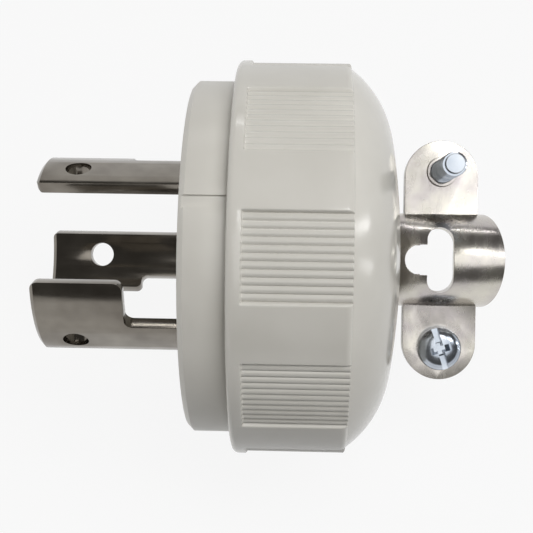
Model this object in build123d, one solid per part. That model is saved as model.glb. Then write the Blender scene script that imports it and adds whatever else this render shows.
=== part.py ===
from build123d import *
import os
from math import asin, cos, degrees, radians, sin, sqrt

os.makedirs("parts", exist_ok=True)

# A three-pole twist lock plug, in millimetres.
# X is the plug's axis: the blades point to -X and the cord would leave at +X.
# The origin is the centre of the front face, which seats on the socket.
# The pieces are drawn with the cord clamp's ears in the XY plane, then turned
# about X so that the plug lies with one grip pad flat down.
LYING_TURN = 20

# Front body
BODY_RADIUS = 23.0
BODY_EDGE = 0.7
FLANGE_REAR = 7.4
CORE_RADIUS = 20.3
CORE_REAR = 12.4
SIDE_GROOVE_ANGLE = 15.8
SIDE_GROOVE_WIDTH = 1.5
SIDE_GROOVE_DEPTH = 0.35
BARRIER_THICKNESS = 1.6
BARRIER_REACH = 12.2
BARRIER_REAR = 17.5

# Blades, cut from sheet and rolled to the blade circle. Lengths are from the tip.
BLADE_OUTER_RADIUS = 12.8
BLADE_THICKNESS = 1.7
BLADE_INNER_RADIUS = BLADE_OUTER_RADIUS - BLADE_THICKNESS
BLADE_HOLE_RADIUS = 1.65
BLADE_HOLE_X = -14.5
BLADE_TIP_CHAMFER = 0.5
SLOT_CLEARANCE = 0.1
BLADES = {
    "line_blade_upper": {"angle": 59, "half_angle": 15.2, "length": 19.4,
                         "hook_angle": 9, "hook_length": 11.5, "corner_round": 0.8},
    "line_blade_lower": {"angle": -59.5, "half_angle": 13.7, "length": 19.4,
                         "hook_angle": 29.5, "hook_length": 11.5, "corner_round": 1.1},
    "earth_blade": {"angle": 180, "half_angle": 15.2, "length": 21.6,
                    "hook_angle": 9, "hook_length": 12.9, "corner_round": 0.8},
}
BLADE_ANGLES = [blade["angle"] for blade in BLADES.values()]

# Terminals, one behind each blade
TERMINAL_RADIUS = 16.0
FOOT_WIDTH = 8.4
FOOT_FRONT = 9.2
FOOT_REAR = FOOT_FRONT + BLADE_THICKNESS
FOOT_REACH = 19.8
POCKET_CLEARANCE = 0.3
TERMINAL_THREAD_RADIUS = 2.0
TERMINAL_HEAD_RADIUS = 3.5
TERMINAL_HEAD_HEIGHT = 2.4
WASHER_SIDE = 7.4
WASHER_THICKNESS = 1.0

# Screws and nuts that hold the body in the cover
ASSEMBLY_RADIUS = 17.0
ASSEMBLY_THREAD_RADIUS = 1.75
ASSEMBLY_HEAD_RADIUS = 3.2
ASSEMBLY_HEAD_HEIGHT = 2.3
COUNTERBORE_RADIUS = 3.6
COUNTERBORE_DEPTH = 3.0
ASSEMBLY_HOLE_RADIUS = 2.0
NUT_SIDE = 6.0
NUT_THICKNESS = 2.4
NUT_CLEARANCE = 0.1
POST_RADIUS = 4.7
ASSEMBLY_ANGLES = [0, 120, 240]

# Cover, with its grip ring and domed back
COVER_FRONT = 5.7
GRIP_FRONT_RADIUS = 26.0
GRIP_REAR_RADIUS = 25.75
GRIP_EDGE = 0.8
GRIP_REAR = 20.0
CORD_HOLE_RADIUS = 8.8
DOME_CROWN_X = 26.87
DOME_BACK_RADIUS = 93.4
DOME_SHOULDER_RADIUS = 13.4
DOME_JOIN_RADIUS = 16.2
MOUTH_RADIUS = 23.3
CAVITY_RADIUS = 20.8
CHAMBER_REAR = 20.6
CHAMBER_END_RADIUS = 13.5
WALL_REAR_INSIDE = 24.6

# Grip pads: sunk fields of fine ribs between smooth lands
PAD_COUNT = 9
PAD_FRONT = 7.4
RIBS_PER_PAD = 11
RIB_PITCH_ANGLE = 2.06
RIB_CREST_RADIUS = 25.4
RIB_GROOVE_RADIUS = 25.1
LAND_WALL_ANGLE = 1.6

# Cord clamp: two formed steel saddles
SHEET = 1.2
EAR_CENTRE_X = 32.3
EAR_WIDTH = 9.5
EAR_SPAN = 31.3
CLAMP_SCREW_OFFSET = 11.55
SADDLE_RADIUS = 6.1
NECK_FLANGE_RADIUS = 10.3
NECK_FLANGE_FRONT = WALL_REAR_INSIDE - SHEET
SADDLE_LIP_X = 37.6
SADDLE_LIP_SLOPE = 0.38
# Crown height over the ears' plane where the drawn channel leaves the neck; behind it the channel is round
SADDLE_CROWN = [(23.4, 4.2), (25.4, 4.3), (27.3, 4.75), (29.2, 5.35), (31.1, 5.85), (33.0, SADDLE_RADIUS)]
SADDLE_ROUND_FRONT = SADDLE_CROWN[-1][0]
WINDOW_FRONT = 30.2
WINDOW_REAR = 33.5
WINDOW_REAR_FAR = 34.9
WINDOW_HALF_HEIGHT = 4.2
LOBE_CENTRE_X = 29.35
LOBE_RADIUS = 1.95
BOSS_RADIUS = 1.95
BOSS_HEIGHT = 2.2

# Clamp screws
CLAMP_THREAD_RADIUS = 1.5
CLAMP_CLEARANCE_RADIUS = 1.7
CLAMP_SCREW_LENGTH = 15.8
CLAMP_HEAD_RADIUS = 2.8
CLAMP_HEAD_HEIGHT = 2.3
RECESS_DEPTH = 1.0
SLOT_WIDTH = 0.8


def turned(shape, angle):
    """Turn a shape about the plug's axis, from +Z towards +Y."""
    return Rot(X=-angle) * shape


def polar_point(radius, angle):
    """A point on a YZ plane, as its own x and y, at an angle from +Z towards +Y."""
    return (radius * sin(radians(angle)), radius * cos(radians(angle)))


def revolved(profile):
    """Revolve a closed outline of lines and curves about the plug's axis."""
    return revolve(make_face(profile), axis=Axis.X)


def drum(radius, front, rear):
    """A plain cylinder on the plug's axis."""
    return extrude(Plane.YZ.offset(front) * Circle(radius), rear - front)


def rod(radius, front, rear, distance):
    """A cylinder parallel to the axis, at a distance from it along +Z."""
    return extrude(Plane.YZ.offset(front) * Pos(0, distance) * Circle(radius), rear - front)


def arc_bar(inner, outer, first_angle, last_angle, front, rear):
    """A bar with the section of a ring's sector."""
    middle = (first_angle + last_angle) / 2
    section = [
        ThreePointArc(polar_point(outer, first_angle), polar_point(outer, middle),
                      polar_point(outer, last_angle)),
        Line(polar_point(outer, last_angle), polar_point(inner, last_angle)),
        ThreePointArc(polar_point(inner, last_angle), polar_point(inner, middle),
                      polar_point(inner, first_angle)),
        Line(polar_point(inner, first_angle), polar_point(outer, first_angle)),
    ]
    return extrude(Plane.YZ.offset(front) * make_face(section), rear - front)


# Cover

def rib_field():
    """The space over one grip pad: its floor is a row of rounded ribs."""
    groove_count = RIBS_PER_PAD + 1
    grooves = [(i - (groove_count - 1) / 2) * RIB_PITCH_ANGLE for i in range(groove_count)]
    floor = [(RIB_GROOVE_RADIUS, grooves[0])]
    for left in grooves[:-1]:
        floor += [
            (RIB_CREST_RADIUS, left + 0.35 * RIB_PITCH_ANGLE),
            (RIB_CREST_RADIUS, left + 0.65 * RIB_PITCH_ANGLE),
            (RIB_GROOVE_RADIUS, left + RIB_PITCH_ANGLE),
        ]
    over = GRIP_FRONT_RADIUS + 1
    edge = grooves[-1] + LAND_WALL_ANGLE
    outline = [
        Polyline(*[polar_point(radius, angle) for radius, angle in floor]),
        Line(polar_point(RIB_GROOVE_RADIUS, grooves[-1]), polar_point(over, edge)),
        ThreePointArc(polar_point(over, edge), polar_point(over, 0), polar_point(over, -edge)),
        Line(polar_point(over, -edge), polar_point(RIB_GROOVE_RADIUS, grooves[0])),
    ]
    return extrude(Plane.YZ.offset(PAD_FRONT) * make_face(outline), GRIP_REAR + 1 - PAD_FRONT)


def grip_ring():
    """The grip ring with its eased rims, before the pads are sunk."""
    edge = GRIP_EDGE
    return revolved(Polyline(
        (COVER_FRONT, 0),
        (COVER_FRONT, GRIP_FRONT_RADIUS - edge),
        (COVER_FRONT + edge, GRIP_FRONT_RADIUS),
        (GRIP_REAR - edge, GRIP_REAR_RADIUS),
        (GRIP_REAR, GRIP_REAR_RADIUS - 0.3 * edge),
        (GRIP_REAR, 0),
        (COVER_FRONT, 0),
    ))


def dome():
    """The glossy back of the cover: a round shoulder that runs into a nearly flat ball end."""
    back_centre = DOME_CROWN_X - DOME_BACK_RADIUS
    join_slope = asin(DOME_JOIN_RADIUS / DOME_BACK_RADIUS)
    hole_slope = asin(CORD_HOLE_RADIUS / DOME_BACK_RADIUS)
    reach = DOME_BACK_RADIUS - DOME_SHOULDER_RADIUS
    centre_x = back_centre + reach * cos(join_slope)
    centre_radius = reach * sin(join_slope)
    start_slope = asin(sqrt(1 - ((GRIP_REAR - centre_x) / DOME_SHOULDER_RADIUS) ** 2))
    back = CenterArc((back_centre, 0), DOME_BACK_RADIUS, degrees(hole_slope),
                     degrees(join_slope - hole_slope))
    shoulder = CenterArc((centre_x, centre_radius), DOME_SHOULDER_RADIUS, degrees(join_slope),
                         degrees(start_slope - join_slope))
    hole_x = (back @ 0).X
    start_radius = (shoulder @ 1).Y
    return revolved([
        back,
        shoulder,
        Line((GRIP_REAR, start_radius), (GRIP_REAR, 0)),
        Line((GRIP_REAR, 0), (hole_x, 0)),
        Line((hole_x, 0), back @ 0),
    ])


def cavity():
    """The hollow of the cover: mouth, chamber, coned end and cord hole."""
    return revolved(Polyline(
        (COVER_FRONT - 1, 0),
        (COVER_FRONT - 1, MOUTH_RADIUS),
        (FLANGE_REAR, MOUTH_RADIUS),
        (FLANGE_REAR, CAVITY_RADIUS),
        (CHAMBER_REAR, CAVITY_RADIUS),
        (WALL_REAR_INSIDE, CHAMBER_END_RADIUS),
        (WALL_REAR_INSIDE, CORD_HOLE_RADIUS),
        (DOME_CROWN_X + 1, CORD_HOLE_RADIUS),
        (DOME_CROWN_X + 1, 0),
        (COVER_FRONT - 1, 0),
    ))


def make_cover():
    field = rib_field()
    ring = grip_ring()
    for number in range(PAD_COUNT):
        ring = ring - turned(field, number * 360 / PAD_COUNT)
    whole = ring + dome()
    post = rod(POST_RADIUS, CORE_REAR, CHAMBER_REAR, ASSEMBLY_RADIUS)
    pocket_rear = CORE_REAR + NUT_THICKNESS + NUT_CLEARANCE
    nut_pocket = square_plate(NUT_SIDE + 2 * NUT_CLEARANCE, CORE_REAR, pocket_rear, ASSEMBLY_RADIUS)
    shell = whole - cavity()
    inside = whole & cavity()
    for angle in ASSEMBLY_ANGLES:
        shell = shell + (turned(post - nut_pocket, angle) & inside)
    return shell


# Front body

def make_front_body():
    edge = BODY_EDGE
    body = revolved(Polyline(
        (0, 0),
        (0, BODY_RADIUS - edge),
        (edge, BODY_RADIUS),
        (FLANGE_REAR, BODY_RADIUS),
        (FLANGE_REAR, CORE_RADIUS),
        (CORE_REAR, CORE_RADIUS),
        (CORE_REAR, 0),
        (0, 0),
    ))
    groove = Pos(FLANGE_REAR / 2, 0, BODY_RADIUS) * Box(
        FLANGE_REAR + 1, SIDE_GROOVE_WIDTH, 2 * SIDE_GROOVE_DEPTH)
    body = body - turned(groove, SIDE_GROOVE_ANGLE)
    for blade in BLADES.values():
        angle = blade["angle"]
        half_slot = blade["half_angle"] + 0.5
        slot = arc_bar(BLADE_INNER_RADIUS - SLOT_CLEARANCE, BLADE_OUTER_RADIUS + SLOT_CLEARANCE,
                       -half_slot, half_slot, -1, CORE_REAR + 1)
        pocket_inner = BLADE_INNER_RADIUS - POCKET_CLEARANCE
        pocket_length = CORE_RADIUS + 1 - pocket_inner
        pocket = Pos((FOOT_FRONT + CORE_REAR + 1) / 2, 0, pocket_inner + pocket_length / 2) * Box(
            CORE_REAR + 1 - FOOT_FRONT, FOOT_WIDTH + 2 * POCKET_CLEARANCE, pocket_length)
        body = body - turned(slot, angle) - turned(pocket, angle)
    for angle in ASSEMBLY_ANGLES:
        counterbore = rod(COUNTERBORE_RADIUS, -1, COUNTERBORE_DEPTH, ASSEMBLY_RADIUS)
        hole = rod(ASSEMBLY_HOLE_RADIUS, -1, CORE_REAR + 1, ASSEMBLY_RADIUS)
        body = body - turned(counterbore, angle) - turned(hole, angle)
    for angle in ASSEMBLY_ANGLES:
        wall = Pos((CORE_REAR + BARRIER_REAR) / 2, 0, BARRIER_REACH / 2) * Box(
            BARRIER_REAR - CORE_REAR, BARRIER_THICKNESS, BARRIER_REACH)
        body = body + turned(wall, angle)
    return body


# Blades and terminals

def make_blade(half_angle, length, hook_angle, hook_length, corner_round):
    """A blade at angle 0, with its hook towards larger angles and its foot bent outward."""
    tip = -length
    hook_end = tip + hook_length
    hook_edge = half_angle + hook_angle
    sheet = arc_bar(BLADE_INNER_RADIUS, BLADE_OUTER_RADIUS, -half_angle, hook_edge, tip, FOOT_REAR)
    notch = arc_bar(BLADE_INNER_RADIUS - 1, BLADE_OUTER_RADIUS + 1, half_angle, hook_edge + 2,
                    hook_end, FOOT_REAR + 1)
    blade = fillet(corner_edges(sheet - notch, hook_end), corner_round)
    eased = tip + BLADE_TIP_CHAMFER
    ring = revolved(Polyline(
        (FOOT_REAR, BLADE_INNER_RADIUS),
        (eased, BLADE_INNER_RADIUS),
        (tip, BLADE_INNER_RADIUS + BLADE_TIP_CHAMFER),
        (tip, BLADE_OUTER_RADIUS - BLADE_TIP_CHAMFER),
        (eased, BLADE_OUTER_RADIUS),
        (FOOT_REAR, BLADE_OUTER_RADIUS),
        (FOOT_REAR, BLADE_INNER_RADIUS),
    ))
    blade = blade & ring
    hole = Pos(BLADE_HOLE_X, 0, BLADE_OUTER_RADIUS) * Cylinder(BLADE_HOLE_RADIUS, 6 * BLADE_THICKNESS)
    foot_length = FOOT_REACH - BLADE_INNER_RADIUS - BLADE_THICKNESS / 2
    foot = Pos((FOOT_FRONT + FOOT_REAR) / 2, 0, FOOT_REACH - foot_length / 2) * Box(
        BLADE_THICKNESS, FOOT_WIDTH, foot_length)
    tapped = rod(TERMINAL_THREAD_RADIUS, FOOT_FRONT - 1, FOOT_REAR + 1, TERMINAL_RADIUS)
    return blade - hole + foot - tapped


def corner_edges(blade, last_x):
    """The short radial edges at the corners of a blade's tip, hook and notch."""
    chosen = []
    for edge in blade.edges().filter_by(GeomType.LINE):
        across = abs((edge @ 0).X - (edge @ 1).X) < 0.01
        if across and edge.center().X < last_x + 0.01:
            chosen.append(edge)
    return chosen


def square_plate(side, front, rear, distance):
    """A square plate across the axis, centred at a distance from it along +Z."""
    return Pos((front + rear) / 2, 0, distance) * Box(rear - front, side, side)


def make_terminal_washer():
    plate = square_plate(WASHER_SIDE, FOOT_REAR, FOOT_REAR + WASHER_THICKNESS, TERMINAL_RADIUS)
    return plate - rod(TERMINAL_THREAD_RADIUS, FOOT_REAR - 1, FOOT_REAR + 2, TERMINAL_RADIUS)


def make_terminal_screw():
    seat = FOOT_REAR + WASHER_THICKNESS
    top = seat + TERMINAL_HEAD_HEIGHT
    head = rod(TERMINAL_HEAD_RADIUS, seat, top, TERMINAL_RADIUS)
    slot = Pos(top, 0, TERMINAL_RADIUS) * Box(2 * RECESS_DEPTH, 3 * TERMINAL_HEAD_RADIUS, SLOT_WIDTH)
    return head - slot + rod(TERMINAL_THREAD_RADIUS, FOOT_FRONT, seat, TERMINAL_RADIUS)


# Screws and nuts that hold the body in the cover

def make_assembly_screw():
    seat = COUNTERBORE_DEPTH
    top = seat - ASSEMBLY_HEAD_HEIGHT
    head = rod(ASSEMBLY_HEAD_RADIUS, top, seat, ASSEMBLY_RADIUS)
    slot = Pos(top, 0, ASSEMBLY_RADIUS) * Box(2 * RECESS_DEPTH, 3 * ASSEMBLY_HEAD_RADIUS, SLOT_WIDTH)
    return head - slot + rod(ASSEMBLY_THREAD_RADIUS, seat, CORE_REAR + NUT_THICKNESS, ASSEMBLY_RADIUS)


def make_assembly_nut():
    plate = square_plate(NUT_SIDE, CORE_REAR, CORE_REAR + NUT_THICKNESS, ASSEMBLY_RADIUS)
    return plate - rod(ASSEMBLY_THREAD_RADIUS, CORE_REAR - 1, CORE_REAR + NUT_THICKNESS + 1, ASSEMBLY_RADIUS)


# Cord clamp

def saddle_form(inset):
    """The drawn channel as a solid: half-ovals that swell from the neck, then a half round."""
    width = SADDLE_RADIUS - inset
    sections = []
    for x, crown in SADDLE_CROWN:
        arch = [
            EllipticalCenterArc((0, 0), width, crown - inset, start_angle=0, arc_size=180),
            Line((-width, 0), (width, 0)),
        ]
        sections.append(Plane.YZ.offset(x) * make_face(arch))
    behind = 2 * SADDLE_LIP_X - SADDLE_ROUND_FRONT
    half_round = drum(width, SADDLE_ROUND_FRONT, behind) & upper_half()
    return loft(sections, ruled=True) + half_round


def upper_half():
    """All the space on the +Z side of the ears' plane."""
    reach = 4 * EAR_SPAN
    return Pos(0, 0, reach / 2) * Box(reach, reach, reach)


def clamp_window(rear):
    """The keyhole window: an upright slot with a round lobe towards the cover."""
    slot_width = rear - WINDOW_FRONT
    slot = Pos((WINDOW_FRONT + rear) / 2, 0) * SlotOverall(2 * WINDOW_HALF_HEIGHT, slot_width, rotation=90)
    lobe = Pos(LOBE_CENTRE_X, 0) * Circle(LOBE_RADIUS)
    bridge_length = WINDOW_FRONT + 1 - LOBE_CENTRE_X
    bridge = Pos(LOBE_CENTRE_X + bridge_length / 2, 0) * Rectangle(bridge_length, 2 * LOBE_RADIUS)
    return extrude(Plane.XY * (slot + lobe + bridge), 2 * SADDLE_RADIUS)


def make_saddle(window_rear):
    """One saddle on the +Z side, with its tapped boss at +Y."""
    ears = extrude(Plane.XY * Pos(EAR_CENTRE_X, 0) * SlotOverall(EAR_SPAN, EAR_WIDTH, rotation=90), SHEET)
    collar = drum(NECK_FLANGE_RADIUS, NECK_FLANGE_FRONT, WALL_REAR_INSIDE)
    boss = Pos(EAR_CENTRE_X, CLAMP_SCREW_OFFSET, BOSS_HEIGHT / 2) * Cylinder(BOSS_RADIUS, BOSS_HEIGHT)
    saddle = saddle_form(0) + ears + (collar & upper_half()) + boss
    saddle = saddle - saddle_form(SHEET)
    beyond_lip = Plane((SADDLE_LIP_X, 0, 0), x_dir=(0, 1, 0), z_dir=(1, 0, -SADDLE_LIP_SLOPE))
    saddle = split(saddle, bisect_by=beyond_lip, keep=Keep.BOTTOM)
    saddle = saddle - clamp_window(window_rear)
    tapped = Pos(EAR_CENTRE_X, CLAMP_SCREW_OFFSET, 0) * Cylinder(CLAMP_THREAD_RADIUS, 4 * BOSS_HEIGHT)
    plain = Pos(EAR_CENTRE_X, -CLAMP_SCREW_OFFSET, 0) * Cylinder(CLAMP_CLEARANCE_RADIUS, 4 * BOSS_HEIGHT)
    return saddle - tapped - plain


def make_clamp_screw():
    """The lower clamp screw: head on the +Z side, shank towards -Z."""
    head = Pos(0, 0, SHEET + CLAMP_HEAD_HEIGHT / 2) * Cylinder(CLAMP_HEAD_RADIUS, CLAMP_HEAD_HEIGHT)
    slot = Pos(0, 0, SHEET + CLAMP_HEAD_HEIGHT) * Box(SLOT_WIDTH, 3 * CLAMP_HEAD_RADIUS, 2 * RECESS_DEPTH)
    shank = Pos(0, 0, SHEET - CLAMP_SCREW_LENGTH / 2) * Cylinder(CLAMP_THREAD_RADIUS, CLAMP_SCREW_LENGTH)
    return Pos(EAR_CENTRE_X, -CLAMP_SCREW_OFFSET, 0) * (head - slot + shank)


def make_pieces():
    """Every piece of the plug by name, before it is laid down."""
    pieces = {"front_body": make_front_body(), "cover": make_cover()}
    for name, blade in BLADES.items():
        shape = make_blade(blade["half_angle"], blade["length"], blade["hook_angle"],
                           blade["hook_length"], blade["corner_round"])
        pieces[name] = turned(shape, blade["angle"])
    for number, angle in enumerate(BLADE_ANGLES, start=1):
        pieces[f"terminal_washer_{number}"] = turned(make_terminal_washer(), angle)
        pieces[f"terminal_screw_{number}"] = turned(make_terminal_screw(), angle)
    for number, angle in enumerate(ASSEMBLY_ANGLES, start=1):
        pieces[f"assembly_screw_{number}"] = turned(make_assembly_screw(), angle)
        pieces[f"assembly_nut_{number}"] = turned(make_assembly_nut(), angle)
    pieces["clamp_saddle_near"] = make_saddle(WINDOW_REAR)
    pieces["clamp_saddle_far"] = turned(make_saddle(WINDOW_REAR_FAR), 180)
    pieces["clamp_screw_lower"] = make_clamp_screw()
    pieces["clamp_screw_upper"] = turned(make_clamp_screw(), 180)
    return pieces


for piece_name, piece in make_pieces().items():
    export_step(Rot(X=LYING_TURN) * piece, f"parts/{piece_name}.step")
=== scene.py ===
from math import acos, asin, cos, pi, radians, sin

import bmesh
import bpy
from mathutils import Matrix, Vector


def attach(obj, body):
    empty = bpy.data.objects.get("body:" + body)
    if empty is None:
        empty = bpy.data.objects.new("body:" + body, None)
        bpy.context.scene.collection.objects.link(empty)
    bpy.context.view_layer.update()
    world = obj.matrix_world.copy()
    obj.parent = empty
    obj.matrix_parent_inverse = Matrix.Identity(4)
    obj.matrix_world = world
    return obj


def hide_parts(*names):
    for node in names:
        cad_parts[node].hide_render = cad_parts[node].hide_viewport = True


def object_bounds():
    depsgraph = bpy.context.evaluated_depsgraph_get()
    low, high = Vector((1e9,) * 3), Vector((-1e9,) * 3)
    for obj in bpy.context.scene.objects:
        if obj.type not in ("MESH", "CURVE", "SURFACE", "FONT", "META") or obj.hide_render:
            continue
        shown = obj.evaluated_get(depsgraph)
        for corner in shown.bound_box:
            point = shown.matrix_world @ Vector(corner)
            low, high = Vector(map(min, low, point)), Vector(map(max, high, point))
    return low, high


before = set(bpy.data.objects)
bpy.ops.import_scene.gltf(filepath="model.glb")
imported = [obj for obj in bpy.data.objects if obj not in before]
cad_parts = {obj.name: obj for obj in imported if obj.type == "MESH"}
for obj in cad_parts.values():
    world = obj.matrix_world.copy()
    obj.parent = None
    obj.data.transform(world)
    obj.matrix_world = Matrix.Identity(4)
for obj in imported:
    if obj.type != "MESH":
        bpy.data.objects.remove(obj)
cad_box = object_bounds()

# The plug's axis is X, with the blades at -X. It lies on one grip pad, so all that is square to its cord
# clamp is turned about X by this much.
LYING_TURN = Matrix.Rotation(radians(20), 4, "X")
MM = 0.001

# The photo's camera, with the clamp level: place in millimetres, angles in degrees
CAMERA_PLACE = (14.4, 0.1, 147.9)
CAMERA_PITCH = -0.52
CAMERA_YAW = 1.90
CAMERA_ROLL = 0.985
CAMERA_FOCAL_PIXELS = 1113.5
PHOTO_PIXELS = 533
SENSOR_WIDTH = 36

# Floor, backdrop and world, in metres
FLOOR_HEIGHT = cad_box[0][2]
BACKDROP_RADIUS = 3.0
BACKDROP_HEIGHT = 0.85
BACKDROP_SIDES = 96
PAPER_TONE = 0.5
PAPER_ROUGHNESS = 0.9
SEEN_SHARE = 0.9
WORLD_COLOUR = (1.0, 0.97, 0.92)
WORLD_STRENGTH = 0.11

# Clamp screws, as in the CAD model but with a real thread and a slotted cross head, in millimetres
EAR_CENTRE_X = 32.3
CLAMP_SCREW_OFFSET = 11.55
SHEET = 1.2
SCREW_LENGTH = 15.8
PLAIN_LENGTH = 1.5
SCREW_RADIUS = 1.5
ROOT_RADIUS = 1.22
TIP_RADIUS = 1.1
TIP_CHAMFER = 0.25
TIP_OVERLAP = 0.2
THREAD_PITCH = 0.5
THREAD_START_TURNS = 1.1
THREAD_RUNOUT = 0.12
CREST_SHARES = (0.42, 0.58)
HEAD_RADIUS = 2.8
HEAD_HEIGHT = 2.3
HEAD_EDGE = 0.12
CROWN_RISE = 0.02
SLOT_TILT_ANGLE = 17
SLOT_LENGTH = 6.5
SLOT_WIDTH = 0.8
SLOT_DEPTH = 1.0
CROSS_REACH = 1.5
CROSS_WIDTH = 1.1
CROSS_DEPTH = 1.5
CROSS_NARROWING = 0.5

# The head's side and crown: how far in from its rim, and at what share of its height
HEAD_CURVE = [(0, 0.45), (0.12, 0.68), (0.45, 0.86), (1.0, 0.96), (1.8, 1)]

# Grip ring of the cover, in millimetres and degrees: the CAD model's, with round and shallower ribs, eased
# walls and rims, and lands up to 0.3 mm lower
PAD_COUNT = 9
RIBS_PER_PAD = 11
RIB_PITCH_ANGLE = 2.06
HALF_FIELD_ANGLE = RIBS_PER_PAD * RIB_PITCH_ANGLE / 2
RIB_CREST_RADIUS = 25.4
RIB_GROOVE_RADIUS = 25.2
RIB_ROUNDNESS = 2.2
GRIP_FRONT_RADIUS = 25.7
GRIP_REAR_RADIUS = 25.65
GRIP_REAR = 20.0
GRIP_ROUND = 0.8
GRIP_REAR_STEP = 0.45
LAND_WALL_ANGLE = 1.6
LAND_WALL_TOP = GRIP_FRONT_RADIUS + 1
LAND_EDGE_ROUND = 0.25
WALL_FOOT_ANGLE = 0.12
PAST_EDGE_ANGLE = 0.8
PAD_FRONT = 7.4

# The front edge of a pad: how far past its line, and at what share of the pad's depth
PAD_FRONT_STEPS = [(-0.12, 0), (0, 0.12), (0.12, 0.8), (0.2, 1)]

# Dome and inside of the cover, as in the CAD model, in millimetres
COVER_FRONT = 5.7
DOME_CROWN_X = 26.87
DOME_BACK_RADIUS = 93.4
DOME_SHOULDER_RADIUS = 13.4
DOME_JOIN_RADIUS = 16.2
CORD_HOLE_RADIUS = 8.8
CORD_HOLE_ROUND = 0.3
ROOF_X = 24.6
ROOF_RADIUS = 13.5
CHAMBER_RADIUS = 20.8
CHAMBER_REAR = 20.6
MOUTH_RADIUS = 23.3
MOUTH_REAR = 7.4
MOUTH_EDGE = 0.15
HOLE_INNER_EDGE = 0.2
POST_DISTANCE = 17.0
POST_RADIUS = 4.7
POST_FRONT = 12.4
POST_REAR = 20.8
NUT_POCKET_SIDE = 6.2
NUT_POCKET_DEPTH = 2.5

# Steps of round forms, and tolerances in millimetres and degrees
RIB_STEPS = 10
RIM_STEPS = 6
SHOULDER_STEPS = 24
BACK_STEPS = 8
HOLE_STEPS = 4
POST_STEPS = 32
THREAD_STEPS = 20
SHANK_STEPS = 32
HEAD_STEPS = 64
MERGE_DISTANCE = 0.0005
THREAD_MERGE_DISTANCE = 0.01
CAD_MERGE_DISTANCE = 0.002
CAD_FLAT_ANGLE = 0.6
CAD_SHARP_ANGLE = 30
CUT_DISTANCE = 0.0001
NEAR_DISTANCE = 0.001

# The part of a noise's range that carries its pattern
NOISE_LOW = 0.3
NOISE_HIGH = 0.7

# Finishes, as linear colours
NYLON_LIGHT = (0.625, 0.608, 0.562)
NYLON_SHADE = (0.58, 0.563, 0.517)
NICKEL_LIGHT = (0.25, 0.23, 0.20)
NICKEL_SHADE = (0.17, 0.153, 0.132)
ZINC_LIGHT = (0.66, 0.635, 0.565)
ZINC_SHADE = (0.50, 0.465, 0.465)
BLUE_ZINC_LIGHT = (0.58, 0.62, 0.67)
BLUE_ZINC_SHADE = (0.36, 0.40, 0.46)
BRASS_LIGHT = (0.72, 0.52, 0.24)
BRASS_SHADE = (0.58, 0.40, 0.18)


# Materials

class Finish:
    """A material and the few node steps that its patterns are made of."""

    def __init__(self, name, metallic, roughness):
        self.material = bpy.data.materials.new(name)
        self.material.use_nodes = True
        self.nodes = self.material.node_tree.nodes
        self.links = self.material.node_tree.links
        self.shader = self.nodes["Principled BSDF"]
        self.shader.inputs["Metallic"].default_value = metallic
        self.shader.inputs["Roughness"].default_value = roughness
        self.place = self.nodes.new("ShaderNodeTexCoord").outputs["Object"]
        self.normal = None

    def noise(self, grain_mm, detail, stretch=(1, 1, 1)):
        """Noise with grains of about this size, drawn out along an axis by a stretch below 1."""
        mapping = self.nodes.new("ShaderNodeMapping")
        mapping.inputs["Scale"].default_value = stretch
        self.links.new(self.place, mapping.inputs["Vector"])
        texture = self.nodes.new("ShaderNodeTexNoise")
        texture.inputs["Scale"].default_value = 1 / (grain_mm * MM)
        texture.inputs["Detail"].default_value = detail
        self.links.new(mapping.outputs["Vector"], texture.inputs["Vector"])
        return texture.outputs["Fac"]

    def spread(self, value, low, high):
        """The middle part of a noise, spread from low to high."""
        step = self.nodes.new("ShaderNodeMapRange")
        step.inputs["From Min"].default_value = NOISE_LOW
        step.inputs["From Max"].default_value = NOISE_HIGH
        step.inputs["To Min"].default_value = low
        step.inputs["To Max"].default_value = high
        self.links.new(value, step.inputs["Value"])
        return step.outputs["Result"]

    def tint(self, value, shade, light):
        """Colour between a shade and a light tone."""
        mix = self.nodes.new("ShaderNodeMix")
        mix.data_type = "RGBA"
        mix.inputs["A"].default_value = (*shade, 1)
        mix.inputs["B"].default_value = (*light, 1)
        self.links.new(self.spread(value, 0, 1), mix.inputs["Factor"])
        self.links.new(mix.outputs["Result"], self.shader.inputs["Base Color"])

    def gloss(self, value, low, high):
        """Roughness that varies between two values."""
        self.links.new(self.spread(value, low, high), self.shader.inputs["Roughness"])

    def relief(self, height, depth_mm, strength):
        """Bumps of a real depth, on top of those already there."""
        bump = self.nodes.new("ShaderNodeBump")
        bump.inputs["Distance"].default_value = depth_mm * MM
        bump.inputs["Strength"].default_value = strength
        self.links.new(height, bump.inputs["Height"])
        if self.normal:
            self.links.new(self.normal, bump.inputs["Normal"])
        self.normal = bump.outputs["Normal"]
        self.links.new(self.normal, self.shader.inputs["Normal"])


def nylon(name, roughness):
    """Off-white moulded nylon: faint clouds in the colour and a fine moulded skin."""
    finish = Finish(name, metallic=0, roughness=roughness)
    finish.tint(finish.noise(grain_mm=9, detail=3), NYLON_SHADE, NYLON_LIGHT)
    finish.gloss(finish.noise(grain_mm=3, detail=2), roughness - 0.02, roughness + 0.03)
    finish.relief(finish.noise(grain_mm=5, detail=1), depth_mm=0.012, strength=0.5)
    finish.relief(finish.noise(grain_mm=0.4, detail=1), depth_mm=0.0008, strength=0.5)
    finish.shader.inputs["IOR"].default_value = 1.5
    return finish.material


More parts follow.
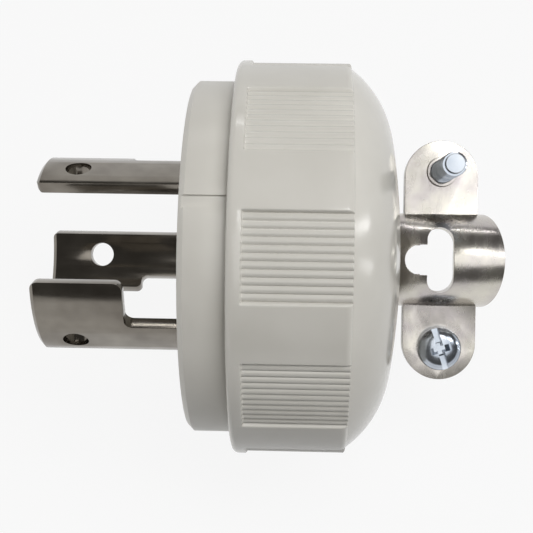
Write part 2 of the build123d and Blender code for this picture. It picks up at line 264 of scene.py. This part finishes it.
def plated_metal(name, shade, light, roughness, grain, wave_depth):
    """Plated sheet or wire: clouded plating, fine rubbed grain and slight waves in the surface."""
    finish = Finish(name, metallic=1, roughness=roughness)
    finish.tint(finish.noise(grain_mm=4, detail=2), shade, light)
    finish.gloss(finish.noise(grain_mm=1, detail=3, stretch=grain), roughness - 0.04, roughness + 0.06)
    finish.relief(finish.noise(grain_mm=3.5, detail=1), depth_mm=wave_depth, strength=1.0)
    finish.relief(finish.noise(grain_mm=0.25, detail=2, stretch=grain), depth_mm=0.0008, strength=0.5)
    return finish.material


def white_paper():
    """Pale paper that takes the soft shadow, and that the camera and the metal see as white."""
    material = bpy.data.materials.new("white_floor")
    material.use_nodes = True
    nodes = material.node_tree.nodes
    links = material.node_tree.links
    paper = nodes["Principled BSDF"]
    paper.inputs["Base Color"].default_value = (PAPER_TONE, PAPER_TONE, PAPER_TONE, 1)
    paper.inputs["Roughness"].default_value = PAPER_ROUGHNESS
    white = nodes.new("ShaderNodeEmission")
    white.inputs["Strength"].default_value = 1
    path = nodes.new("ShaderNodeLightPath")
    mirrored = nodes.new("ShaderNodeMath")
    mirrored.operation = "ADD"
    through = nodes.new("ShaderNodeMath")
    through.operation = "ADD"
    seen = nodes.new("ShaderNodeMath")
    seen.operation = "MULTIPLY"
    seen.inputs[1].default_value = SEEN_SHARE
    seen.use_clamp = True
    mix = nodes.new("ShaderNodeMixShader")
    links.new(path.outputs["Is Camera Ray"], mirrored.inputs[0])
    links.new(path.outputs["Is Glossy Ray"], mirrored.inputs[1])
    links.new(mirrored.outputs["Value"], through.inputs[0])
    links.new(path.outputs["Is Transmission Ray"], through.inputs[1])
    links.new(through.outputs["Value"], seen.inputs[0])
    links.new(seen.outputs["Value"], mix.inputs["Fac"])
    links.new(paper.outputs["BSDF"], mix.inputs[1])
    links.new(white.outputs["Emission"], mix.inputs[2])
    links.new(mix.outputs["Shader"], nodes["Material Output"].inputs["Surface"])
    return material


# Mesh steps

def placed_object(name, work):
    """A bare object of a bmesh, linked to the scene."""
    mesh = bpy.data.meshes.new(name)
    work.to_mesh(mesh)
    work.free()
    thing = bpy.data.objects.new(name, mesh)
    bpy.context.scene.collection.objects.link(thing)
    return thing


def join(work, other):
    """Move all of another bmesh into this one."""
    mesh = bpy.data.meshes.new("joined")
    other.to_mesh(mesh)
    other.free()
    work.from_mesh(mesh)
    bpy.data.meshes.remove(mesh)


def finished(name, work, material, smooth_angle=35):
    """Close a bmesh into a piece that rides on the plug, smooth except at sharp corners."""
    bmesh.ops.remove_doubles(work, verts=work.verts, dist=MERGE_DISTANCE * MM)
    bmesh.ops.recalc_face_normals(work, faces=work.faces)
    for face in work.faces:
        face.smooth = True
    for edge in work.edges:
        edge.smooth = edge.calc_face_angle(0) < radians(smooth_angle)
    piece = placed_object(name, work)
    piece.data.materials.append(material)
    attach(piece, "root")
    return piece


def lay_down(work):
    """Bring a bmesh from millimetres, with the clamp level, to metres, with the plug on its pad."""
    bmesh.ops.scale(work, verts=work.verts, vec=(MM, MM, MM))
    bmesh.ops.transform(work, verts=work.verts, matrix=LYING_TURN)


def lathe(work, outline, steps):
    """Spin an outline of (radius, height) points about Z into a closed solid."""
    points = [work.verts.new((radius, 0, height)) for radius, height in outline]
    edges = [work.edges.new(pair) for pair in zip(points, points[1:])]
    bmesh.ops.spin(work, geom=points + edges, cent=(0, 0, 0), axis=(0, 0, 1), angle=2 * pi, steps=steps,
                   use_merge=True)
    bmesh.ops.remove_doubles(work, verts=work.verts, dist=MERGE_DISTANCE)
    bmesh.ops.recalc_face_normals(work, faces=work.faces)


def skin(work, rings, closed=False):
    """Faces between each ring of points and the next, and from the last to the first where it is closed."""
    grid = [[work.verts.new(point) for point in ring] for ring in rings]
    if closed:
        grid.append(grid[0])
    for front, rear in zip(grid, grid[1:]):
        for index in range(len(front)):
            following = (index + 1) % len(front)
            work.faces.new((front[index], front[following], rear[following], rear[index]))
    return grid


def carved(work, cutters):
    """Cut each of the cutters out of a solid and return what is left."""
    solid = placed_object("solid", work)
    for cut in cutters:
        tool = placed_object("cutter", cut)
        difference = solid.modifiers.new("cut", "BOOLEAN")
        difference.operation = "DIFFERENCE"
        difference.solver = "EXACT"
        difference.object = tool
        bpy.context.view_layer.update()
        current = bpy.context.evaluated_depsgraph_get()
        left = bpy.data.meshes.new_from_object(solid.evaluated_get(current))
        solid.modifiers.clear()
        solid.data = left
        bpy.data.objects.remove(tool)
    result = bmesh.new()
    result.from_mesh(solid.data)
    bpy.data.objects.remove(solid)
    return result


def refined(node, material, round_mm, segments=2):
    """A copy of a CAD node with its doubles merged, its flats whole and its sharp edges rounded."""
    work = bmesh.new()
    work.from_mesh(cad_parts[node].data)
    bmesh.ops.remove_doubles(work, verts=work.verts, dist=CAD_MERGE_DISTANCE * MM)
    bmesh.ops.dissolve_limit(work, angle_limit=radians(CAD_FLAT_ANGLE), verts=work.verts,
                             edges=work.edges)
    edges = [edge for edge in work.edges
             if edge.is_manifold and edge.calc_face_angle(0) > radians(CAD_SHARP_ANGLE)]
    bmesh.ops.bevel(work, geom=edges, offset=round_mm * MM, offset_type="OFFSET", affect="EDGES",
                    segments=segments, profile=0.5, material=-1, clamp_overlap=True)
    piece = finished(node + "_rounded", work, material)
    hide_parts(node)
    return piece


# Cover

def rib_radius(angle, land_radius):
    """Radius of the grip ring at an angle within one pad's turn, measured from the pad's middle."""
    offset = abs(angle)
    if offset <= HALF_FIELD_ANGLE:
        phase = (offset + HALF_FIELD_ANGLE) / RIB_PITCH_ANGLE % 1
        rounded = 1 - abs(2 * phase - 1) ** RIB_ROUNDNESS
        return min(RIB_GROOVE_RADIUS + (RIB_CREST_RADIUS - RIB_GROOVE_RADIUS) * rounded, land_radius)
    climb = (offset - HALF_FIELD_ANGLE) / LAND_WALL_ANGLE
    wall = RIB_GROOVE_RADIUS + climb * (LAND_WALL_TOP - RIB_GROOVE_RADIUS)
    corner = max(1 - abs(wall - land_radius) / LAND_EDGE_ROUND, 0)
    return min(wall, land_radius) - corner ** 2 * LAND_EDGE_ROUND / 4


def pad_angles():
    """The angles that one pad and half of each neighbouring land need, from the pad's middle."""
    ribs = [-HALF_FIELD_ANGLE + RIB_PITCH_ANGLE * step / RIB_STEPS
            for step in range(RIBS_PER_PAD * RIB_STEPS + 1)]
    climb = LAND_WALL_ANGLE / (LAND_WALL_TOP - RIB_GROOVE_RADIUS)
    wall_foot = HALF_FIELD_ANGLE + WALL_FOOT_ANGLE
    wall_top = HALF_FIELD_ANGLE + climb * (GRIP_FRONT_RADIUS - RIB_GROOVE_RADIUS)
    past_edge = wall_top + PAST_EDGE_ANGLE
    land_middle = 180 / PAD_COUNT
    side = [wall_foot]
    side += [wall_top + climb * LAND_EDGE_ROUND * part for part in (-1, -0.5, 0, 0.5, 1)]
    side += [past_edge + (land_middle - past_edge) * part for part in (0, 0.33, 0.67, 1)]
    return [-angle for angle in reversed(side[:-1])] + ribs + side


def arc(centre_x, centre_radius, radius, start, end, steps):
    """(x, radius) points of an arc in the cover's section, with both its ends."""
    turns = [start + (end - start) * step / steps for step in range(steps + 1)]
    return [(centre_x + radius * cos(turn), centre_radius + radius * sin(turn)) for turn in turns]


def land_profile():
    """(x, land radius, share of the pads' depth) from the front rim to the rear of the grip ring."""
    rim = arc(COVER_FRONT + GRIP_ROUND, GRIP_FRONT_RADIUS - GRIP_ROUND, GRIP_ROUND, pi, pi / 2, RIM_STEPS)
    rows = [(x, radius, 0) for x, radius in rim]
    rows += [(PAD_FRONT + past, GRIP_FRONT_RADIUS, share) for past, share in PAD_FRONT_STEPS]
    front = rows[-1][0]
    rear = GRIP_REAR - GRIP_ROUND
    for part in (0.25, 0.5, 0.75):
        radius = GRIP_FRONT_RADIUS + (GRIP_REAR_RADIUS - GRIP_FRONT_RADIUS) * part
        rows.append((front + (rear - front) * part, radius, 1))
    for step in range(RIM_STEPS + 1):
        turn = pi / 2 * step / RIM_STEPS
        radius = GRIP_REAR_RADIUS - GRIP_REAR_STEP * (1 - cos(turn))
        rows.append((rear + GRIP_ROUND * sin(turn), radius, 1))
    return rows


def dome_profile():
    """(x, radius) of the dome: a round shoulder out of the ring's rear face, then the flat ball end."""
    back_centre = DOME_CROWN_X - DOME_BACK_RADIUS
    meeting = asin(DOME_JOIN_RADIUS / DOME_BACK_RADIUS)
    reach = DOME_BACK_RADIUS - DOME_SHOULDER_RADIUS
    shoulder_x = back_centre + reach * cos(meeting)
    start = acos((GRIP_REAR - shoulder_x) / DOME_SHOULDER_RADIUS)
    rows = arc(shoulder_x, reach * sin(meeting), DOME_SHOULDER_RADIUS, start, meeting, SHOULDER_STEPS)
    hole_edge = asin((CORD_HOLE_RADIUS + CORD_HOLE_ROUND) / DOME_BACK_RADIUS)
    rows += arc(back_centre, 0, DOME_BACK_RADIUS, meeting, hole_edge, BACK_STEPS)[1:]
    rows += arc(rows[-1][0] - CORD_HOLE_ROUND, CORD_HOLE_RADIUS + CORD_HOLE_ROUND, CORD_HOLE_ROUND,
                0, -pi / 2, HOLE_STEPS)[1:]
    return rows


def inside_profile():
    """(x, radius) of the cover's inside, from the cord hole through the chamber to the mouth."""
    hole = [(ROOF_X + HOLE_INNER_EDGE, CORD_HOLE_RADIUS), (ROOF_X, CORD_HOLE_RADIUS + HOLE_INNER_EDGE)]
    chamber = [(ROOF_X, ROOF_RADIUS), (CHAMBER_REAR, CHAMBER_RADIUS), (MOUTH_REAR, CHAMBER_RADIUS)]
    mouth = [(MOUTH_REAR, MOUTH_RADIUS), (COVER_FRONT + MOUTH_EDGE, MOUTH_RADIUS),
             (COVER_FRONT, MOUTH_RADIUS + MOUTH_EDGE)]
    return hole + chamber + mouth


def nut_post(turn):
    """A post inside the cover, closed, with a square nut pocket in its front end."""
    work = bmesh.new()
    rim = []
    pocket = []
    for step in range(POST_STEPS):
        angle = 2 * pi * step / POST_STEPS
        reach = NUT_POCKET_SIDE / 2 / max(abs(cos(angle)), abs(sin(angle)))
        rim.append((POST_RADIUS * cos(angle), POST_RADIUS * sin(angle)))
        pocket.append((reach * cos(angle), reach * sin(angle)))
    rows = [(POST_FRONT + NUT_POCKET_DEPTH, pocket), (POST_FRONT, pocket), (POST_FRONT, rim),
            (POST_REAR, rim)]
    grid = skin(work, [[(x, y, z + POST_DISTANCE) for y, z in row] for x, row in rows])
    work.faces.new(grid[0])
    work.faces.new(grid[-1])
    bmesh.ops.recalc_face_normals(work, faces=work.faces)
    bmesh.ops.rotate(work, verts=work.verts, matrix=Matrix.Rotation(radians(-turn), 3, "X"))
    return work


def grip_cover(material):
    """The cover as one closed skin, with its ribbed pads, dome, cord hole and chamber, and its posts."""
    pad = pad_angles()
    angles = [number * 360 / PAD_COUNT + angle for number in range(PAD_COUNT) for angle in pad]
    rows = [(x, [land + (rib_radius(angle, land) - land) * depth for angle in pad] * PAD_COUNT)
            for x, land, depth in land_profile()]
    rows += [(x, [radius] * len(angles)) for x, radius in dome_profile() + inside_profile()]
    rings = [[(x, radius * sin(radians(angle)), radius * cos(radians(angle)))
              for radius, angle in zip(radii, angles)] for x, radii in rows]
    work = bmesh.new()
    skin(work, rings, closed=True)
    for turn in (0, 120, 240):
        join(work, nut_post(turn))
    lay_down(work)
    piece = finished("cover_ribbed", work, material, smooth_angle=32)
    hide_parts("cover")
    return piece


# Clamp screws

def thread(top, bottom, first_turn, turns):
    """A thread round Z that starts at a height and goes down, cut off and closed at a top and a bottom."""
    work = bmesh.new()
    crest = [(SCREW_RADIUS, -THREAD_PITCH * share) for share in CREST_SHARES]
    outline = [(ROOT_RADIUS, 0)] + crest + [(ROOT_RADIUS, -THREAD_PITCH)]
    points = [work.verts.new((radius, 0, height + first_turn)) for radius, height in outline]
    edges = [work.edges.new(pair) for pair in zip(points, points[1:])]
    bmesh.ops.spin(work, geom=points + edges, cent=(0, 0, 0), axis=(0, 0, 1),
                   dvec=(0, 0, -THREAD_PITCH / THREAD_STEPS), angle=2 * pi * turns,
                   steps=THREAD_STEPS * turns)
    bmesh.ops.remove_doubles(work, verts=work.verts, dist=THREAD_MERGE_DISTANCE)
    for height, side in ((top, 1), (bottom, -1)):
        geometry = work.verts[:] + work.edges[:] + work.faces[:]
        bmesh.ops.bisect_plane(work, geom=geometry, dist=CUT_DISTANCE, plane_co=(0, 0, height),
                               plane_no=(0, 0, side), clear_outer=True)
        rim = [edge for edge in work.edges
               if edge.is_boundary and all(abs(end.co.z - height) < NEAR_DISTANCE for end in edge.verts)]
        bmesh.ops.contextual_create(work, geom=rim)
    return work


def threaded_shank():
    """A shank below Z = 0: plain under the head, then a thread that runs down to the chamfered tip."""
    top = -PLAIN_LENGTH - THREAD_PITCH * THREAD_START_TURNS
    bottom = -SCREW_LENGTH + THREAD_PITCH
    work = thread(top, bottom, -PLAIN_LENGTH, int((SCREW_LENGTH - PLAIN_LENGTH) / THREAD_PITCH))
    collar = bmesh.new()
    lathe(collar, [(0, 0), (SCREW_RADIUS, 0), (SCREW_RADIUS, top + THREAD_RUNOUT),
                   (ROOT_RADIUS, top - THREAD_RUNOUT), (0, top - THREAD_RUNOUT)], SHANK_STEPS)
    tip = bmesh.new()
    lathe(tip, [(0, bottom + TIP_OVERLAP), (ROOT_RADIUS, bottom + TIP_OVERLAP),
                (ROOT_RADIUS, -SCREW_LENGTH + TIP_CHAMFER), (TIP_RADIUS, -SCREW_LENGTH),
                (0, -SCREW_LENGTH)], SHANK_STEPS)
    join(work, collar)
    join(work, tip)
    return work


def cutter(length, width, floor_height, narrowing=1.0):
    """A block that cuts a recess from above down to a floor, where it may be narrower."""
    work = bmesh.new()
    bmesh.ops.create_cube(work, size=1)
    for vert in work.verts:
        low = vert.co.z < 0
        scale = narrowing if low else 1
        vert.co.x *= length * scale
        vert.co.y *= width * scale
        vert.co.z = floor_height if low else HEAD_HEIGHT + 1
    return work


def pan_head():
    """A pan head with its seat on Z = 0, cut with a full-width slot and a cross."""
    work = bmesh.new()
    outline = [(0, 0), (HEAD_RADIUS - HEAD_EDGE, 0), (HEAD_RADIUS, HEAD_EDGE)]
    outline += [(HEAD_RADIUS - inset, HEAD_HEIGHT * share) for inset, share in HEAD_CURVE]
    outline.append((0, HEAD_HEIGHT + CROWN_RISE))
    lathe(work, outline, HEAD_STEPS)
    slot = cutter(SLOT_LENGTH, SLOT_WIDTH, HEAD_HEIGHT - SLOT_DEPTH)
    arms = [cutter(length, width, HEAD_HEIGHT - CROSS_DEPTH, CROSS_NARROWING)
            for length, width in ((2 * CROSS_REACH, CROSS_WIDTH), (CROSS_WIDTH, 2 * CROSS_REACH))]
    return carved(work, [slot] + arms)


def clamp_screw(name, side, material):
    """A clamp screw with its head on the camera's side (1) or away from it (-1)."""
    work = pan_head()
    join(work, threaded_shank())
    tilt = Matrix.Rotation(radians(SLOT_TILT_ANGLE + 90), 3, "Z")
    bmesh.ops.rotate(work, verts=work.verts, matrix=tilt)
    bmesh.ops.translate(work, verts=work.verts, vec=(EAR_CENTRE_X, -CLAMP_SCREW_OFFSET, SHEET))
    if side < 0:
        bmesh.ops.rotate(work, verts=work.verts, matrix=Matrix.Rotation(pi, 3, "X"))
    lay_down(work)
    piece = finished(name + "_threaded", work, material)
    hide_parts(name)
    return piece


# Terminals, assembly screws and nuts

def dress(node, material):
    """Give a CAD node its finish."""
    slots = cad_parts[node].data.materials
    if not slots:
        slots.append(material)
    for index in range(len(slots)):
        slots[index] = material


# Surroundings

def camera():
    """The photo's camera, nearly square on the plug's side."""
    data = bpy.data.cameras.new("camera")
    data.sensor_width = SENSOR_WIDTH
    data.lens = SENSOR_WIDTH * CAMERA_FOCAL_PIXELS / PHOTO_PIXELS
    data.clip_start = 0.01
    lens = bpy.data.objects.new("camera", data)
    place = Matrix.Translation(Vector(CAMERA_PLACE) * MM)
    aim = (Matrix.Rotation(radians(CAMERA_PITCH), 4, "X") @ Matrix.Rotation(radians(CAMERA_YAW), 4, "Y")
           @ Matrix.Rotation(radians(CAMERA_ROLL), 4, "Z"))
    lens.matrix_world = LYING_TURN @ place @ aim
    bpy.context.scene.collection.objects.link(lens)
    bpy.context.scene.camera = lens


def lamp(name, place, target, size, power, mirrored=True):
    """A soft box in millimetres, aimed at a point, in the frame with the clamp level."""
    data = bpy.data.lights.new(name, "AREA")
    data.shape = "RECTANGLE"
    data.size = size[0] * MM
    data.size_y = size[1] * MM
    data.energy = power
    light = bpy.data.objects.new(name, data)
    light.visible_glossy = mirrored
    aim = (Vector(place) - Vector(target)).to_track_quat("Z", "Y").to_matrix().to_4x4()
    light.matrix_world = LYING_TURN @ Matrix.Translation(Vector(place) * MM) @ aim
    bpy.context.scene.collection.objects.link(light)


def floor():
    """A round floor with a low backdrop all round it."""
    work = bmesh.new()
    bmesh.ops.create_circle(work, cap_ends=True, segments=BACKDROP_SIDES, radius=BACKDROP_RADIUS)
    bmesh.ops.translate(work, verts=work.verts, vec=(0, 0, FLOOR_HEIGHT))
    rim = [edge for edge in work.edges if edge.is_boundary]
    wall = bmesh.ops.extrude_edge_only(work, edges=rim)["geom"]
    top = [part for part in wall if isinstance(part, bmesh.types.BMVert)]
    bmesh.ops.translate(work, verts=top, vec=(0, 0, BACKDROP_HEIGHT))
    plane = placed_object("floor", work)
    plane.data.materials.append(white_paper())


def studio():
    """A dim warm world, and soft boxes and strips. Those that would glare in the metal aren't mirrored."""
    world = bpy.data.worlds.new("studio")
    bpy.context.scene.world = world
    world.use_nodes = True
    world.node_tree.nodes["Background"].inputs["Color"].default_value = (*WORLD_COLOUR, 1)
    world.node_tree.nodes["Background"].inputs["Strength"].default_value = WORLD_STRENGTH
    lamp("key", (90, 175, 335), target=(15, 0, 0), size=(260, 160), power=0.68, mirrored=False)
    lamp("top_strip", (20, 330, 70), target=(15, 5, 10), size=(220, 14), power=0.10)
    lamp("upper_box", (87, 150, 350), target=(30, 0, 0), size=(60, 60), power=0.09)
    lamp("front_panel", (90, 20, 420), target=(25, 0, 0), size=(240, 260), power=0.29)
    lamp("right_box", (225, 110, 300), target=(25, 0, 0), size=(60, 110), power=0.2)
    lamp("side_strip", (330, 65, 60), target=(22, 0, 15), size=(20, 130), power=0.09)
    lamp("thin_strip", (330, -15, 25), target=(22, 0, 10), size=(6, 110), power=0.04)
    lamp("front_fill", (-400, 0, 35), target=(0, 0, 0), size=(200, 70), power=0.5, mirrored=False)
    bpy.context.scene.view_settings.view_transform = "Standard"


# Build

body_nylon = nylon("body_nylon", 0.34)
cover_nylon = nylon("cover_nylon", 0.17)
nickel = plated_metal("nickel_plate", NICKEL_SHADE, NICKEL_LIGHT, 0.16, (0.15, 1, 1), wave_depth=0.006)
zinc = plated_metal("bright_zinc", ZINC_SHADE, ZINC_LIGHT, 0.24, (1, 0.4, 1), wave_depth=0.005)
blue_zinc = plated_metal("blue_zinc", BLUE_ZINC_SHADE, BLUE_ZINC_LIGHT, 0.20, (1, 1, 1), wave_depth=0.004)
brass = plated_metal("plain_brass", BRASS_SHADE, BRASS_LIGHT, 0.26, (1, 1, 1), wave_depth=0.006)

refined("front_body", body_nylon, round_mm=0.12)
grip_cover(cover_nylon)
for blade in ("line_blade_upper", "line_blade_lower", "earth_blade"):
    refined(blade, nickel, round_mm=0.25, segments=3)
for saddle in ("clamp_saddle_near", "clamp_saddle_far"):
    refined(saddle, zinc, round_mm=0.4, segments=4)
for number in (1, 2, 3):
    dress(f"terminal_screw_{number}", brass)
    dress(f"terminal_washer_{number}", brass)
    dress(f"assembly_screw_{number}", blue_zinc)
    dress(f"assembly_nut_{number}", blue_zinc)
clamp_screw("clamp_screw_lower", 1, blue_zinc)
clamp_screw("clamp_screw_upper", -1, blue_zinc)

floor()
studio()
camera()
